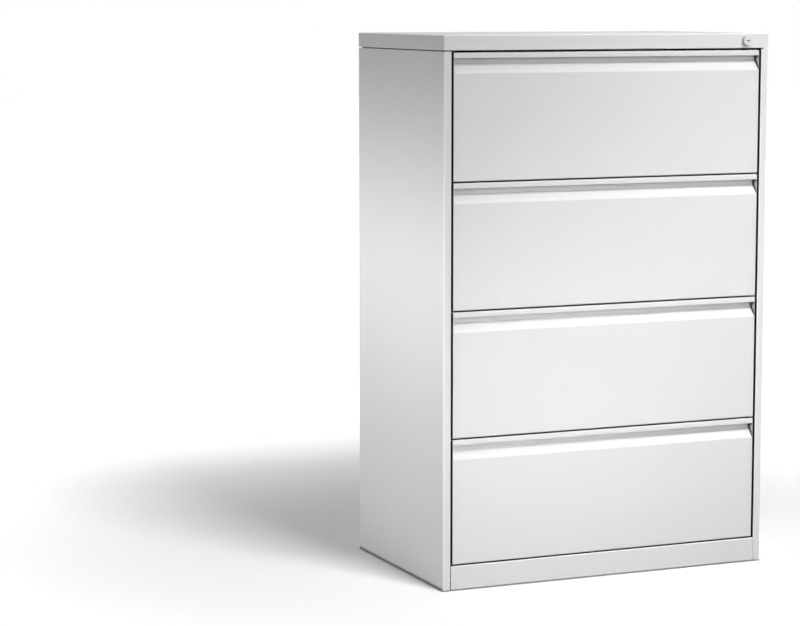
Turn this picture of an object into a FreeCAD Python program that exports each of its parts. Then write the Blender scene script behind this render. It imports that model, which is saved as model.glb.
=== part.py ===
# Four-drawer steel filing cabinet with grip-profile drawer fronts,
# telescopic slides and a central lock. All sizes are in millimetres.
# X is the width, Y the depth with the front at -Y, Z is up.
# The origin is on the floor, under the middle of the cabinet's box.

import FreeCAD, Part
import math
import os

Vec = FreeCAD.Vector

# Overall sizes
cabinet_width = 898.0
cabinet_depth = 540.0

# Drawer stack and the faces above and below it
drawer_count = 4
front_height = 309.9
front_gap = 3.5
floor_gap = 2.0
plinth_face = 60.4
plinth_gap = 3.0
cap_face = 36.5
cap_gap_over_drawer = 5.0
cap_gap_over_side = 2.5

# Carcass sheet metal
sheet = 1.0
bend = 1.5
stile_width = 20.0
stile_lip = 13.0
rear_return = 20.0
rear_setback = 1.5
cap_return = 10.0
side_joggle = 6.0
joint_line = 1.0

# Drawer fronts
stile_gap = 6.1
front_setback = 2.0
front_depth = 31.0
lip_face = 13.5
grip_depth = 18.5
grip_wall = 13.5
grip_slope = 16.5
grip_knee = 4.0
grip_foot = 6.7
grip_bend = 8.0
grip_slit = 1.2
front_flange = 21.0
liner_flange = 10.0
liner_inset = 1.5

# Drawer pans
pan_sheet = 0.8
pan_bend = 1.0
pan_length = 470.0
pan_lift = 8.0
pan_wall = 262.0
hem_width = 10.0
hem_drop = 6.0
rail_width = 20.0
rail_height = 25.0

# Telescopic slides
slide_length = 490.0
slide_height = 46.0
slide_thickness = 13.0
slide_centre = 60.0
slide_start = 36.0
slide_sheet = 1.2
slide_bend = 0.8
slide_lip = 1.5
inner_lip = 0.3
ball_diameter = 4.0
ball_play = 0.1
web_gap = 1.0
cage_sheet = 0.5
cage_play = 0.5
drawer_travel = 480.0

# Slide-carrying uprights
upright_web = 34.0
upright_flange = 12.0
upright_front = 75.0
upright_rear = 430.0
slot_width = 5.0
slot_height = 14.0
hook_play = 0.3
hook_neck = 6.0
hook_drop = 5.0

# Base and feet
base_flange = 25.0
plinth_top_flange = 20.0
plinth_foot_flange = 15.0
foot_diameter = 32.0
foot_pad = 10.0
stem_diameter = 10.0
stem_length = 42.0
foot_inset_x = 34.0
foot_inset_y = 55.0
bracket_height = 24.0
bracket_sheet = 2.0
bracket_length = 60.0
nut_height = 8.0
nut_flats = 16.0

# Back panel swages
swage_depth = 3.0
swage_height = 24.0
swage_slope = 6.0

# Lock
lock_from_side = 66.5
lock_from_top = 18.0
lock_proud = 12.0
lock_ring = 23.0
lock_chamfer = 1.0
lock_thread = 19.0
lock_body = 30.0
lock_plug_diameter = 12.0
running_fit = 0.05
key_slot_length = 8.0
key_slot_width = 2.4
key_slot_depth = 9.0
lock_nut_height = 4.0
lock_nut_flats = 24.0
hole_clearance = 0.2
cam_gap = 0.5
cam_thickness = 2.0
cam_width = 11.0
crank_radius = 7.0
crank_swing = 90.0
crank_pin = 5.0
crank_pin_length = 7.0
crank_clearance = 0.4

# Lock bar
bar_thickness = 4.0
bar_width = 16.0
bar_from_stile = 3.0
arm_thickness = 3.0
arm_height = 16.0
finger_height = 12.0
finger_length = 6.0
finger_reach = 14.0
catch_height = 20.0
catch_level = 150.0
catch_sheet = 1.5
catch_reach = 12.0
catch_flange = 24.0
catch_gap = 1.5
guide_height = 14.0
guide_wall = 3.0
guide_play = 0.2

# Positions that follow from the sizes above
front_y = (lock_proud - cabinet_depth) / 2
back_y = front_y + cabinet_depth
side_back_y = back_y - rear_setback
half_width = cabinet_width / 2
plinth_top = floor_gap + plinth_face
first_front = plinth_top + plinth_gap
drawer_pitch = front_height + front_gap
stack_top = first_front + drawer_count * drawer_pitch - front_gap
cap_bottom = stack_top + cap_gap_over_drawer
cabinet_height = cap_bottom + cap_face
side_top = cap_bottom - cap_gap_over_side
opening_half = half_width - stile_width
front_half = opening_half - stile_gap
slide_wall_x = opening_half - joint_line
pan_half = slide_wall_x - slide_thickness
face_y = front_y + front_setback
liner_y = front_y + front_depth
pan_y = liner_y + sheet
base_top = plinth_top - sheet
lock_x = half_width - lock_from_side
lock_z = cabinet_height - lock_from_top


# Shared shape helpers

def box(x0, x1, y0, y1, z0, z1):
    """Block between two corners."""
    return Part.makeBox(x1 - x0, y1 - y0, z1 - z0, Vec(x0, y0, z0))


def rod(radius, start, direction, length):
    """Round bar from a start point."""
    return Part.makeCylinder(radius, length, start, direction)


def fuse_all(shapes):
    """One solid from touching pieces, with split faces joined again."""
    return shapes[0].multiFuse(shapes[1:]).removeSplitter()


def group(shapes):
    """Separate solids kept in one sub-part."""
    return Part.Compound(shapes)


def other_side(shape):
    """The same piece mirrored to the other side of the cabinet."""
    return shape.mirror(Vec(0, 0, 0), Vec(1, 0, 0))


def in_xy(z):
    return lambda u, v: Vec(u, v, z)


def in_yz(x):
    return lambda u, v: Vec(x, u, v)


def in_xz(y):
    return lambda u, v: Vec(u, y, v)


def rounded_edges(points, radii, place):
    """Lines through the points, with a tangent arc where the radius isn't zero."""
    edges = []
    last = points[0]
    for before, here, after, radius in zip(points, points[1:], points[2:], radii):
        if radius == 0:
            edges.append(Part.LineSegment(place(last.x, last.y), place(here.x, here.y)).toShape())
            last = here
            continue
        arrive = (here - before).normalize()
        leave = (after - here).normalize()
        turn = arrive.getAngle(leave)
        reach = radius * math.tan(turn / 2)
        start = here - arrive * reach
        end = here + leave * reach
        inward = (leave - arrive).normalize()
        middle = here + inward * (radius / math.cos(turn / 2) - radius)
        edges.append(Part.LineSegment(place(last.x, last.y), place(start.x, start.y)).toShape())
        arc = Part.Arc(place(start.x, start.y), place(middle.x, middle.y), place(end.x, end.y))
        edges.append(arc.toShape())
        last = end
    edges.append(Part.LineSegment(place(last.x, last.y), place(points[-1].x, points[-1].y)).toShape())
    return edges


def folded(path, thickness, radii, place, run):
    """Sheet folded along a path, its thickness to the left of the path.

    The radii are those on the inside of each bend, and 0 leaves a bend
    sharp. The fold runs straight along the vector run.
    """
    outer = [Vec(u, v, 0) for u, v in path]
    steps = [(b - a).normalize() for a, b in zip(outer, outer[1:])]
    normals = [Vec(-step.y, step.x, 0) for step in steps]
    inner = [outer[0] + normals[0] * thickness]
    outer_radii = []
    inner_radii = []
    for corner, first, second, step, radius in zip(outer[1:], normals, normals[1:], steps, radii):
        inner.append(corner + (first + second) * (thickness / (1 + first.dot(second))))
        turns_left = step.dot(second) < 0
        wide = radius + thickness if radius > 0 else 0
        outer_radii.append(wide if turns_left else radius)
        inner_radii.append(radius if turns_left else wide)
    inner.append(outer[-1] + normals[-1] * thickness)
    edges = rounded_edges(outer, outer_radii, place)
    edges.append(Part.LineSegment(place(outer[-1].x, outer[-1].y), place(inner[-1].x, inner[-1].y)).toShape())
    edges += rounded_edges(inner[::-1], inner_radii[::-1], place)
    edges.append(Part.LineSegment(place(inner[0].x, inner[0].y), place(outer[0].x, outer[0].y)).toShape())
    return Part.Face(Part.Wire(edges)).extrude(run)


def hexagon(flats, centre, direction, height):
    """Six-sided prism, as a nut is."""
    outline = Part.makePolygon([
        Vec(flats / math.sqrt(3) * math.cos(math.radians(60 * k)),
            flats / math.sqrt(3) * math.sin(math.radians(60 * k)), 0) for k in range(7)])
    prism = Part.Face(outline).extrude(Vec(0, 0, height))
    prism.Placement = FreeCAD.Placement(centre, FreeCAD.Rotation(Vec(0, 0, 1), direction))
    return prism


def drawer_bottom(number):
    """Lowest edge of a drawer front, number 1 at the top."""
    return first_front + (drawer_count - number) * drawer_pitch


# Carcass

def side_panel():
    """Right side: one sheet folded into front stile, side and rear return."""
    path = [
        (opening_half, front_y + stile_lip),
        (opening_half, front_y),
        (half_width, front_y),
        (half_width, side_back_y),
        (half_width - rear_return, side_back_y)]
    skin = folded(path, sheet, [bend] * 3, in_xy(floor_gap), Vec(0, 0, side_top - floor_gap))
    ledge_in = half_width - sheet - side_joggle
    ledge_front = front_y + stile_lip
    ledge_back = side_back_y - rear_return
    ledge = box(ledge_in, half_width - sheet, ledge_front, ledge_back, side_top - sheet, side_top)
    upstand = box(ledge_in, ledge_in + sheet, ledge_front, ledge_back, side_top, cap_bottom)
    return fuse_all([skin, ledge, upstand])


def top_cover():
    """Lid with four aprons, each turned in along its lower edge."""
    outer = box(-half_width, half_width, front_y, back_y, cap_bottom, cabinet_height)
    outer = outer.makeFillet(bend + sheet, [e for e in outer.Edges if is_cap_bend(e)])
    inner = box(-half_width + sheet, half_width - sheet, front_y + sheet, back_y - sheet,
                cap_bottom + sheet, cabinet_height - sheet)
    inner_top = [e for e in inner.Edges if min(v.Z for v in e.Vertexes) > cabinet_height - 2 * sheet]
    inner = inner.makeFillet(bend, inner_top)
    mouth = box(-half_width + cap_return, half_width - cap_return, front_y + cap_return,
                back_y - cap_return, cap_bottom, cap_bottom + sheet)
    hole = rod(lock_thread / 2 + hole_clearance, Vec(lock_x, front_y, lock_z), Vec(0, 1, 0), sheet)
    return outer.cut(inner).cut(mouth).cut(hole)


def is_cap_bend(edge):
    """True for the upright corner edges and the edges round the top."""
    heights = [vertex.Z for vertex in edge.Vertexes]
    upright = abs(heights[0] - heights[1]) > sheet
    return upright or min(heights) > cabinet_height - 2 * sheet


def cap_front_rail():
    """Channel inside the front apron that stiffens it and carries the lock."""
    low = cap_bottom + sheet
    high = cabinet_height - sheet
    start = -half_width + sheet + bend + sheet
    web = front_y + sheet
    path = [(web + 2 * cap_return, high), (web, high), (web, low), (web + 2 * cap_return, low)]
    rail = folded(path, sheet, [bend] * 2, in_yz(start), Vec(-2 * start, 0, 0))
    hole = rod(lock_thread / 2 + hole_clearance, Vec(lock_x, web, lock_z), Vec(0, 1, 0), sheet)
    return rail.cut(hole)


def back_panel():
    """Rear sheet with pressed swages, held inside the side returns."""
    lap = half_width - rear_return / 2
    plane = side_back_y - sheet
    path = [(plane, floor_gap)]
    for number in range(drawer_count, 1, -1):
        middle = drawer_bottom(number) + drawer_pitch
        low = middle - swage_height / 2
        high = middle + swage_height / 2
        path += [(plane, low), (plane - swage_depth, low + swage_slope)]
        path += [(plane - swage_depth, high - swage_slope), (plane, high)]
    path.append((plane, cap_bottom))
    return folded(path, sheet, [0] * (len(path) - 2), in_yz(-lap), Vec(2 * lap, 0, 0))


def base_pan():
    """Floor of the carcass, turned down along both sides and the rear."""
    edge = half_width - sheet
    start = front_y + stile_lip + joint_line
    end = side_back_y - sheet - bend
    path = [
        (-edge, base_top - base_flange),
        (-edge, base_top),
        (edge, base_top),
        (edge, base_top - base_flange)]
    tray = folded(path[::-1], sheet, [0] * 2, in_xz(start), Vec(0, end - start, 0))
    rear = box(-edge + sheet, edge - sheet, end - sheet, end, base_top - base_flange, base_top - sheet)
    return fuse_all([tray, rear])


def front_plinth():
    """Kick panel between the stiles, turned in at the top and at the floor."""
    reach = opening_half - joint_line
    path = [
        (front_y + plinth_top_flange, plinth_top),
        (front_y, plinth_top),
        (front_y, floor_gap),
        (front_y + plinth_foot_flange, floor_gap)]
    return folded(path, sheet, [bend] * 2, in_yz(-reach), Vec(2 * reach, 0, 0))


def upright(start):
    """Right-hand hat-section post that carries the slides."""
    wall = half_width - sheet
    near = front_y + start
    far = near + upright_web
    web = slide_wall_x + sheet
    path = [
        (wall, near - upright_flange),
        (wall, near),
        (web, near),
        (web, far),
        (wall, far),
        (wall, far + upright_flange)]
    post = folded(path, sheet, [0] * 4, in_xy(base_top), Vec(0, 0, side_top - sheet - base_top))
    middle = (near + far) / 2
    for number in range(1, drawer_count + 1):
        level = drawer_bottom(number) + slide_centre
        slot = box(slide_wall_x, web, middle - slot_width / 2, middle + slot_width / 2,
                   level - slot_height / 2, level + slot_height / 2)
        post = post.cut(slot)
    return post


def foot_places():
    """Centres of the four feet."""
    across = half_width - foot_inset_x
    return [(x, y) for x in (-across, across) for y in (front_y + foot_inset_y, back_y - foot_inset_y)]


def foot_brackets():
    """Angle plates on the side panels, each with a welded nut for a foot."""
    brackets = []
    for x, y in foot_places():
        side = math.copysign(1, x)
        wall = side * (half_width - sheet)
        inner = x - side * foot_inset_x / 2
        low = min(wall, inner)
        high = max(wall, inner)
        plate = box(low, high, y - bracket_length / 2, y + bracket_length / 2,
                    bracket_height, bracket_height + bracket_sheet)
        edge = min(wall, wall - side * bracket_sheet)
        tab = box(edge, edge + bracket_sheet, y - bracket_length / 2, y + bracket_length / 2,
                  bracket_height, base_top - base_flange)
        nut = hexagon(nut_flats, Vec(x, y, bracket_height + bracket_sheet), Vec(0, 0, 1), nut_height)
        bore = rod(stem_diameter / 2 + running_fit, Vec(x, y, bracket_height), Vec(0, 0, 1),
                   bracket_sheet + nut_height)
        brackets.append(fuse_all([plate, tab, nut]).cut(bore))
    return group(brackets)


def levelling_feet():
    """Round foot pads on threaded stems."""
    feet = []
    for x, y in foot_places():
        pad = rod(foot_diameter / 2, Vec(x, y, 0), Vec(0, 0, 1), foot_pad)
        stem = rod(stem_diameter / 2, Vec(x, y, foot_pad), Vec(0, 0, 1), stem_length)
        feet.append(fuse_all([pad, stem]))
    return group(feet)


# Telescopic slides

def slide_member(web_x, tip_x, half_height, lip, corner, level):
    """One right-hand channel: web at web_x, its two flanges reaching to tip_x."""
    inward = math.copysign(1, tip_x - web_x)
    start = front_y + slide_start
    path = [
        (tip_x, half_height - slide_sheet - lip),
        (tip_x, half_height),
        (web_x, half_height),
        (web_x, -half_height),
        (tip_x, -half_height),
        (tip_x, -half_height + slide_sheet + lip)]
    path = [(u, v + level) for u, v in path]
    if inward < 0:
        path = path[::-1]
    radii = [0, corner, corner, 0]
    return folded(path, slide_sheet, radii, in_xz(start), Vec(0, slide_length, 0))


def slide_level(number):
    return drawer_bottom(number) + slide_centre


def slide_pair(number, web_x, tip_x, half_height, lip):
    """Right and left member of one kind, with sharp bends."""
    right = slide_member(web_x, tip_x, half_height, lip, 0, slide_level(number))
    return group([right, other_side(right)])


def rail_hook(number, start):
    """Hook of an outer rail: a neck through the slot of one upright and a plate hanging behind it."""
    middle = front_y + start + upright_web / 2
    half = slot_width / 2 - hook_play
    low = slide_level(number) - slot_height / 2 + hook_play
    behind = slide_wall_x + sheet + hook_play
    neck = box(slide_wall_x, behind, middle - half, middle + half, low, low + hook_neck)
    plate = box(behind, behind + slide_sheet, middle - half, middle + half,
                low - hook_drop, low + hook_neck)
    return [neck, plate]


rail_tip = pan_half + 2 * web_gap
outer_half = slide_height / 2
middle_half = outer_half - slide_sheet - ball_diameter - 2 * ball_play
inner_half = middle_half - slide_sheet - ball_diameter - 2 * ball_play


def outer_rails(number):
    """Rails that hang by hooks in the slots of the uprights."""
    rail = slide_member(slide_wall_x, rail_tip, outer_half, slide_lip, slide_bend, slide_level(number))
    right = fuse_all([rail] + rail_hook(number, upright_front) + rail_hook(number, upright_rear))
    return group([right, other_side(right)])


def middle_rails(number):
    """Intermediate rails that run out half as far as the drawer."""
    web_x = slide_wall_x - slide_sheet - web_gap
    return slide_pair(number, web_x, rail_tip, middle_half, slide_lip)


def ball_cages(number, web_x, half_height):
    """Retainers for one stage of both slides: a thin web with two ball strips."""
    start = front_y + slide_start + drawer_travel / 4
    length = slide_length - drawer_travel / 2
    level = slide_level(number)
    tip = rail_tip + slide_sheet + cage_play
    strip = ball_diameter - 2 * cage_play
    top = level + half_height
    web = box(web_x, web_x + cage_sheet, start, start + length, level - half_height, top)
    upper = box(tip, web_x + cage_sheet, start, start + length, top - strip, top)
    lower = upper.mirror(Vec(0, 0, level), Vec(0, 0, 1))
    right = fuse_all([web, upper, lower])
    return group([right, other_side(right)])


def outer_cages(number):
    """Cages between the outer and the middle rails, running a quarter as far as the drawer."""
    web = slide_wall_x - slide_sheet - (web_gap + cage_sheet) / 2
    return ball_cages(number, web, outer_half - slide_sheet - ball_play - cage_play)


def inner_cages(number):
    """Cages between the middle and the inner rails, running three quarters as far."""
    web = slide_wall_x - 2 * slide_sheet - web_gap - (web_gap + cage_sheet) / 2
    return ball_cages(number, web, middle_half - slide_sheet - ball_play - cage_play)


def inner_rails(number):
    """Rails fixed to the drawer's sides."""
    tip = slide_wall_x - 2 * slide_sheet - 3 * web_gap
    return slide_pair(number, pan_half, tip, inner_half, inner_lip)


# Drawers

def drawer_front(number):
    """Front skin: one sheet folded into lip, finger grip, face and foot flange.

    Its end flanges close the grip; a slit parts them from the grip's folds.
    """
    low = drawer_bottom(number)
    high = low + front_height
    rear = liner_y
    wall = face_y + grip_depth
    lip_edge = high - lip_face
    slope_top = lip_edge - grip_wall
    knee = slope_top - grip_slope
    crease = knee - grip_foot
    path = [
        (rear, high),
        (face_y, high),
        (face_y, lip_edge),
        (wall, lip_edge),
        (wall, slope_top),
        (face_y + grip_knee, knee),
        (face_y, crease),
        (face_y, low),
        (rear, low)]
    radii = [bend, 0, bend, bend, grip_bend, sheet, bend]
    skin = folded(path, sheet, radii, in_yz(-front_half), Vec(2 * front_half, 0, 0))
    relief = box(front_half - sheet - grip_slit, front_half, face_y + sheet, wall + sheet,
                 crease, lip_edge + sheet)
    flange = box(front_half - sheet, front_half, face_y, face_y + front_flange,
                 low + sheet + bend, high - sheet - bend)
    ends = [flange, other_side(flange)]
    return fuse_all([skin.cut(relief).cut(other_side(relief))] + ends)


def drawer_liner(number):
    """Flat inner sheet that closes the front, turned back at top and bottom."""
    low = drawer_bottom(number)
    high = low + front_height
    reach = front_half - liner_inset
    path = [
        (liner_y + liner_flange, low),
        (liner_y, low),
        (liner_y, high),
        (liner_y + liner_flange, high)]
    return folded(path[::-1], sheet, [0] * 2, in_yz(-reach), Vec(2 * reach, 0, 0))


def drawer_pan(number):
    """Tray with hemmed side walls, closed at the rear."""
    low = drawer_bottom(number) + pan_lift
    high = low + pan_wall
    hem_x = pan_half - hem_width
    path = [
        (-hem_x, high - hem_drop),
        (-hem_x, high),
        (-pan_half, high),
        (-pan_half, low),
        (pan_half, low),
        (pan_half, high),
        (hem_x, high),
        (hem_x, high - hem_drop)]
    radii = [0, 0, pan_bend, pan_bend, 0, 0]
    tray = folded(path, pan_sheet, radii, in_xz(pan_y), Vec(0, pan_length, 0))
    end = pan_y + pan_length
    inside = pan_half - pan_sheet
    rear = box(-inside, inside, end - pan_sheet, end, low + pan_sheet, high - pan_sheet)
    return fuse_all([tray, rear])


def centre_rail(number):
    """Channel between the two file lanes; the file hooks rest on its edges."""
    high = drawer_bottom(number) + pan_lift + pan_wall
    half = rail_width / 2
    path = [(-half, high), (-half, high - rail_height), (half, high - rail_height), (half, high)]
    length = pan_length - pan_sheet
    return folded(path, sheet, [0] * 2, in_xz(pan_y), Vec(0, length, 0))


# Central lock

def lock_housing():
    """Threaded barrel with the round collar that shows on the front apron."""
    front = Vec(lock_x, front_y - lock_proud, lock_z)
    inward = Vec(0, 1, 0)
    collar = rod(lock_ring / 2, front, inward, lock_proud)
    rim = [e for e in collar.Edges if abs(e.CenterOfMass.y - front.y) < sheet / 10]
    collar = collar.makeChamfer(lock_chamfer, rim)
    barrel = rod(lock_thread / 2, Vec(lock_x, front_y, lock_z), inward, lock_body)
    bore = rod(lock_plug_diameter / 2 + running_fit, front, inward, lock_proud + lock_body)
    return fuse_all([collar, barrel]).cut(bore)


def lock_nut():
    """Nut that clamps the barrel behind the apron and its rail."""
    seat = Vec(lock_x, front_y + 2 * sheet, lock_z)
    nut = hexagon(lock_nut_flats, seat, Vec(0, 1, 0), lock_nut_height)
    return nut.cut(rod(lock_thread / 2 + running_fit, seat, Vec(0, 1, 0), lock_nut_height))


cam_y = front_y + lock_body + cam_gap


def lock_plug():
    """Turning core with its keyway."""
    front = Vec(lock_x, front_y - lock_proud, lock_z)
    core = rod(lock_plug_diameter / 2, front, Vec(0, 1, 0), lock_proud + lock_body + cam_gap)
    keyway = box(lock_x - key_slot_length / 2, lock_x + key_slot_length / 2,
                 front.y, front.y + key_slot_depth,
                 lock_z - key_slot_width / 2, lock_z + key_slot_width / 2)
    return core.cut(keyway)


def crank_centre():
    """Centre of the crank pin at rest, low on the side of the lock bar."""
    swing = math.radians(crank_swing / 2)
    return lock_x + crank_radius * math.cos(swing), lock_z - crank_radius * math.sin(swing)


def lock_cam():
    """Lever on the end of the plug, with the pin that lifts the lock bar."""
    pin_x, pin_z = crank_centre()
    inward = Vec(0, 1, 0)
    hub = rod(cam_width / 2, Vec(lock_x, cam_y, lock_z), inward, cam_thickness)
    end = rod(cam_width / 2, Vec(pin_x, cam_y, pin_z), inward, cam_thickness)
    arm = box(0, crank_radius, 0, cam_thickness, -cam_width / 2, cam_width / 2)
    arm.rotate(Vec(0, 0, 0), inward, crank_swing / 2)
    arm.translate(Vec(lock_x, cam_y, lock_z))
    pin = rod(crank_pin / 2, Vec(pin_x, cam_y + cam_thickness, pin_z), inward, crank_pin_length)
    return fuse_all([hub, end, arm, pin])


bar_x = opening_half + bar_from_stile
arm_y = cam_y + cam_thickness + cam_gap + sheet


def catch_bottom(number):
    return drawer_bottom(number) + catch_level


def lock_bar():
    """Upright bar with a finger for each drawer and an arm over the crank pin."""
    pin_x, pin_z = crank_centre()
    arm_middle = pin_z
    foot = catch_bottom(drawer_count) - 2 * finger_height
    bar = box(bar_x, bar_x + bar_thickness, arm_y, arm_y + bar_width, foot, arm_middle + arm_height / 2)
    slot_low_x = pin_x - crank_pin / 2 - crank_clearance
    slot_high_x = lock_x + crank_radius + crank_pin / 2 + crank_clearance
    arm = box(slot_low_x - crank_pin, bar_x, arm_y, arm_y + arm_thickness,
              arm_middle - arm_height / 2, arm_middle + arm_height / 2)
    slot = box(slot_low_x, slot_high_x, arm_y, arm_y + arm_thickness,
               pin_z - crank_pin / 2 - crank_clearance, pin_z + crank_pin / 2 + crank_clearance)
    fingers = []
    for number in range(1, drawer_count + 1):
        top = catch_bottom(number) - catch_gap
        fingers.append(box(bar_x - finger_reach, bar_x, finger_y(), finger_y() + finger_length,
                           top - finger_height, top))
    return fuse_all([bar, arm.cut(slot)] + fingers)


def finger_y():
    """Front of the fingers, clear behind the drawer fronts."""
    return liner_y + liner_flange + 2 * catch_gap


def drawer_catch(number):
    """Angle on the drawer's right side that the lock bar's finger holds."""
    low = catch_bottom(number)
    y = finger_y() + finger_length + catch_gap
    path = [(pan_half + catch_reach, y), (pan_half, y), (pan_half, y + catch_flange)]
    return folded(path[::-1], catch_sheet, [bend], in_xy(low), Vec(0, 0, catch_height))


def lock_bar_guides():
    """Moulded guides on the side panel that the bar slides in."""
    guides = []
    wall = half_width - sheet
    for number in range(1, drawer_count):
        level = drawer_bottom(number)
        block = box(bar_x - guide_wall, wall, arm_y - guide_wall, arm_y + bar_width + guide_wall,
                    level - guide_height / 2, level + guide_height / 2)
        slot = box(bar_x - guide_play, bar_x + bar_thickness + guide_play, arm_y - guide_play,
                   arm_y + bar_width + guide_play, level - guide_height / 2, level + guide_height / 2)
        guides.append(block.cut(slot))
    return group(guides)


def all_parts():
    """Every sub-part by name."""
    right_panel = side_panel()
    front_post = upright(upright_front)
    rear_post = upright(upright_rear)
    parts = {
        "top_cover": top_cover(),
        "cap_front_rail": cap_front_rail(),
        "right_side_panel": right_panel,
        "left_side_panel": other_side(right_panel),
        "back_panel": back_panel(),
        "base_pan": base_pan(),
        "front_plinth": front_plinth(),
        "upright_front_right": front_post,
        "upright_front_left": other_side(front_post),
        "upright_rear_right": rear_post,
        "upright_rear_left": other_side(rear_post),
        "foot_brackets": foot_brackets(),
        "levelling_feet": levelling_feet(),
        "lock_housing": lock_housing(),
        "lock_nut": lock_nut(),
        "lock_plug": lock_plug(),
        "lock_cam": lock_cam(),
        "lock_bar": lock_bar(),
        "lock_bar_guides": lock_bar_guides()}
    for number in range(1, drawer_count + 1):
        parts["outer_rails_%d" % number] = outer_rails(number)
        parts["middle_rails_%d" % number] = middle_rails(number)
        parts["inner_rails_%d" % number] = inner_rails(number)
        parts["outer_cages_%d" % number] = outer_cages(number)
        parts["inner_cages_%d" % number] = inner_cages(number)
        parts["drawer_front_%d" % number] = drawer_front(number)
        parts["drawer_liner_%d" % number] = drawer_liner(number)
        parts["drawer_pan_%d" % number] = drawer_pan(number)
        parts["centre_rail_%d" % number] = centre_rail(number)
        parts["drawer_catch_%d" % number] = drawer_catch(number)
    return parts


os.makedirs("parts", exist_ok=True)
for name, shape in all_parts().items():
    shape.exportStep("parts/%s.step" % name)
print("height %.1f" % cabinet_height)
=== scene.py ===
import math

import bpy
from mathutils import Euler, Matrix, Vector


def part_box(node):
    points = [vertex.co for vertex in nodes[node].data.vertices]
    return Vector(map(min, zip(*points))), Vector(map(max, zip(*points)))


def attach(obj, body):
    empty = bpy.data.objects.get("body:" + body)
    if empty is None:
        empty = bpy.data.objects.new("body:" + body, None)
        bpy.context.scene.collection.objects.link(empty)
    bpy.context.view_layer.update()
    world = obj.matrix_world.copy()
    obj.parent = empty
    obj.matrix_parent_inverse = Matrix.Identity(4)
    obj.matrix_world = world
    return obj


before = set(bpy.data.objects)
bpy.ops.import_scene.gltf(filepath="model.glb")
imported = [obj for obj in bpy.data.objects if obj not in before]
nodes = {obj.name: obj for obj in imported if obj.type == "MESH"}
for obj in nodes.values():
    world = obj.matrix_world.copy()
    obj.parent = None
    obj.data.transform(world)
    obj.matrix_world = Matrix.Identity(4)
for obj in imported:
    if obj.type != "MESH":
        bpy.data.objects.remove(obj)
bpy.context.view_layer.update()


# Base pan. One sheet of cold rolled steel with its four edges folded down, welded
# between the side panels. It is powder coated with the rest of the body.
def put(tree, kind, inputs=None, **settings):
    made = tree.nodes.new("ShaderNode" + kind)
    for key, value in settings.items():
        setattr(made, key, value)
    for key, value in (inputs or {}).items():
        if isinstance(value, bpy.types.NodeSocket):
            tree.links.new(value, made.inputs[key])
        else:
            made.inputs[key].default_value = value
    return made


def start_group(name, inputs, outputs):
    tree = bpy.data.node_groups.new(name, "ShaderNodeTree")
    for title, value in inputs.items():
        kind = "NodeSocketColor" if isinstance(value, tuple) else "NodeSocketFloat"
        tree.interface.new_socket(title, in_out="INPUT", socket_type=kind).default_value = value
    for title, kind in outputs.items():
        tree.interface.new_socket(title, in_out="OUTPUT", socket_type="NodeSocket" + kind)
    return tree, tree.nodes.new("NodeGroupInput").outputs, tree.nodes.new("NodeGroupOutput").inputs


def use_group(tree, group, values):
    made = tree.nodes.new("ShaderNodeGroup")
    made.node_tree = group
    for key, value in values.items():
        if isinstance(value, bpy.types.NodeSocket):
            tree.links.new(value, made.inputs[key])
        else:
            made.inputs[key].default_value = value
    return made.outputs


def start_material(name):
    material = bpy.data.materials.new(name)
    material.use_nodes = True
    return material, material.node_tree, material.node_tree.nodes["Principled BSDF"]


def make_coat_grain():
    """Baked powder: a tone that drifts over the sheet, fine pigment specks, and the soft peel of
    the film."""
    tree, given, result = start_group(
        "coat_grain",
        {
            "Color": (0.8, 0.8, 0.8, 1),
            "Tone": 0.03,
            "Roughness": 0.42,
            "Spread": 0.08,
            "Peel Scale": 420.0,
        },
        {"Color": "Color", "Roughness": "Float", "Peel": "Float"},
    )
    place = put(tree, "TexCoord").outputs["Object"]
    drift = put(
        tree, "TexNoise", {"Vector": place, "Scale": 2.3, "Detail": 3.0, "Roughness": 0.55}
    ).outputs["Fac"]
    speck = put(tree, "TexNoise", {"Vector": place, "Scale": 1500.0, "Detail": 1.0}).outputs["Fac"]
    both = put(tree, "Math", {0: speck, 1: 0.35, 2: drift}, operation="MULTIPLY_ADD").outputs[0]
    centred = put(tree, "Math", {0: both, 1: 0.675}, operation="SUBTRACT").outputs[0]
    tone = put(
        tree, "Math", {0: centred, 1: given["Tone"], 2: 1.0}, operation="MULTIPLY_ADD"
    ).outputs[0]
    shaded = put(
        tree, "VectorMath", {0: given["Color"], "Scale": tone}, operation="SCALE"
    ).outputs[0]
    tree.links.new(shaded, result["Color"])
    film = put(
        tree, "TexNoise", {"Vector": place, "Scale": 9.0, "Detail": 4.0, "Roughness": 0.6}
    ).outputs["Fac"]
    uneven = put(tree, "Math", {0: film, 1: 0.5}, operation="SUBTRACT").outputs[0]
    rough = put(
        tree,
        "Math",
        {0: uneven, 1: given["Spread"], 2: given["Roughness"]},
        operation="MULTIPLY_ADD",
    )
    tree.links.new(rough.outputs[0], result["Roughness"])
    peel = put(
        tree,
        "TexNoise",
        {"Vector": place, "Scale": given["Peel Scale"], "Detail": 2.0, "Roughness": 0.45},
    )
    tree.links.new(peel.outputs["Fac"], result["Peel"])
    return tree


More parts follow.
